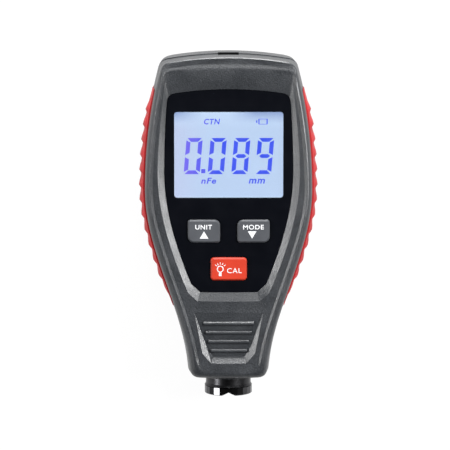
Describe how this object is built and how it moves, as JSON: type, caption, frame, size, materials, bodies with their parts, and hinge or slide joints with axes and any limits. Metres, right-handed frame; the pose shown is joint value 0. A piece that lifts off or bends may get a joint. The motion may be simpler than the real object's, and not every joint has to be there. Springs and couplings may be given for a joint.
{
  "type": "coating thickness gauge",
  "caption": "Handheld coating thickness gauge with a backlit display, press keys, ribbed thumb rest, soft side grips, battery door and a sprung probe.",
  "frame": {"origin": "centre of the bounding box at the back face, on which the gauge lies", "axes": "+Z out of the display face, +Y from the probe to the head end, +X to the right of the display"},
  "size_m": [0.0562, 0.1076, 0.0259],
  "materials": {
    "shell": "fine grained",
    "grip": "soft satin",
    "panel": "gloss",
    "window": "clear gloss",
    "display": "lit",
    "light": "milky",
    "frame": "satin",
    "contact_rubber": "matte",
    "board": "lacquered",
    "component": "matte",
    "key_grey": "satin",
    "key_red": "satin",
    "plunger": "satin",
    "probe_metal": "polished",
    "guide": "satin",
    "bobbin": "satin",
    "winding": "enamelled",
    "ferrite": "ground",
    "steel": "plain",
    "cell": "plain sleeve",
    "screw": "blackened"
  },
  "bodies": {
    "housing": {"front_shell": "shell", "rear_shell": "shell", "left_grip": "grip", "right_grip": "grip", "face_panel": "panel", "display_window": "window", "lcd_glass": "display", "lcd_frame": "frame", "light_guide": "light", "side_light": "light", "contact_strip": "contact_rubber", "main_board": "board", "processor_chip": "component", "memory_chip": "component", "clock_crystal": "steel", "sounder": "component", "unit_switch": "component", "mode_switch": "component", "cal_switch": "component", "probe_guide": "guide", "probe_cap": "guide", "probe_spring": "steel", "left_cell": "cell", "right_cell": "cell", "cell_link": "steel", "plus_contact": "steel", "minus_contact": "steel", "housing_screws": "screw", "board_screws": "steel", "strap_post": "steel"},
    "unit_button": {"unit_key": "key_grey", "unit_plunger": "plunger"},
    "mode_button": {"mode_key": "key_grey", "mode_plunger": "plunger"},
    "cal_button": {"cal_key": "key_red", "cal_plunger": "plunger"},
    "probe": {"probe_sleeve": "probe_metal", "probe_collar": "probe_metal", "probe_bobbin": "bobbin", "probe_coil": "winding", "probe_core": "ferrite", "probe_tip": "steel"},
    "door": {"battery_door": "shell"}
  },
  "joints": [
    {"name": "unit_press", "type": "slide", "parent": "housing", "child": "unit_button", "axis": [0, 0, -1], "range_m": [0, 0.0005], "stiffness_N_per_m": 200},
    {"name": "mode_press", "type": "slide", "parent": "housing", "child": "mode_button", "axis": [0, 0, -1], "range_m": [0, 0.0005], "stiffness_N_per_m": 200},
    {"name": "cal_press", "type": "slide", "parent": "housing", "child": "cal_button", "axis": [0, 0, -1], "range_m": [0, 0.0005], "stiffness_N_per_m": 200},
    {"name": "probe_slide", "type": "slide", "parent": "housing", "child": "probe", "axis": [0, 1, 0], "range_m": [0, 0.002], "stiffness_N_per_m": 600, "deforming": ["probe_spring"]},
    {"name": "door_hinge", "type": "hinge", "parent": "housing", "child": "door", "pos_m": [0, -0.01405, 0.0009], "axis": [-1, 0, 0], "range_deg": [0, 100]}
  ]
}
